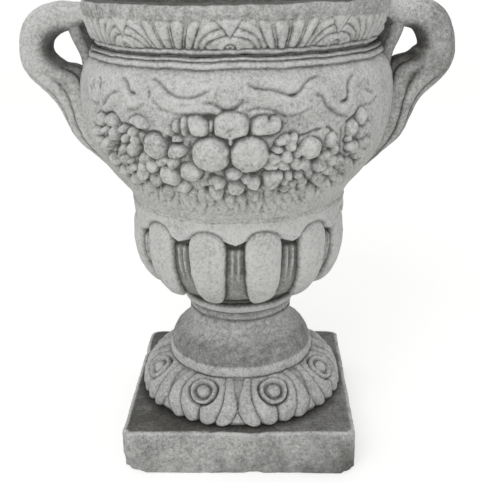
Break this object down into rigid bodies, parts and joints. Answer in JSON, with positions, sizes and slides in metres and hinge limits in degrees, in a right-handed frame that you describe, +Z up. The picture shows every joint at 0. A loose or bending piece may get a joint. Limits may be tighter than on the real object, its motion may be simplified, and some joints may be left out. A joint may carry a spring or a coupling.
{
  "type": "garden urn planter",
  "caption": "Footed cast-stone garden urn on a square plinth, with a gadrooned bowl, fruit garland, palmette rim, two curled strap handles and a drain bore down its middle.",
  "frame": {"origin": "centre of the plinth's underside, on the urn's upright axis", "axes": "+Z up, -Y towards the pictured front, handles on the X axis, +X to the right seen from the front"},
  "size_m": [0.557, 0.4172, 0.6],
  "materials": {
    "cast_stone": "weathered cast concrete, pale on raised carving and dark in the hollows",
    "mortar": "raked cement mortar",
    "galvanised_steel": "dull zinc coating"
  },
  "bodies": {
    "root": {"plinth": "cast_stone", "plinth_bed": "mortar", "leaf_foot": "cast_stone", "foot_bed": "mortar", "stem": "cast_stone", "neck_bed": "mortar", "gadrooned_bowl": "cast_stone", "waist_bed": "mortar", "garland_body": "cast_stone", "rim_bed": "mortar", "rim_band": "cast_stone", "rim_hoop": "galvanised_steel", "left_handle": "cast_stone", "right_handle": "cast_stone", "handle_dowels": "galvanised_steel", "drain_tube": "galvanised_steel", "tube_washers": "galvanised_steel", "tube_nuts": "galvanised_steel"}
  },
  "joints": []
}
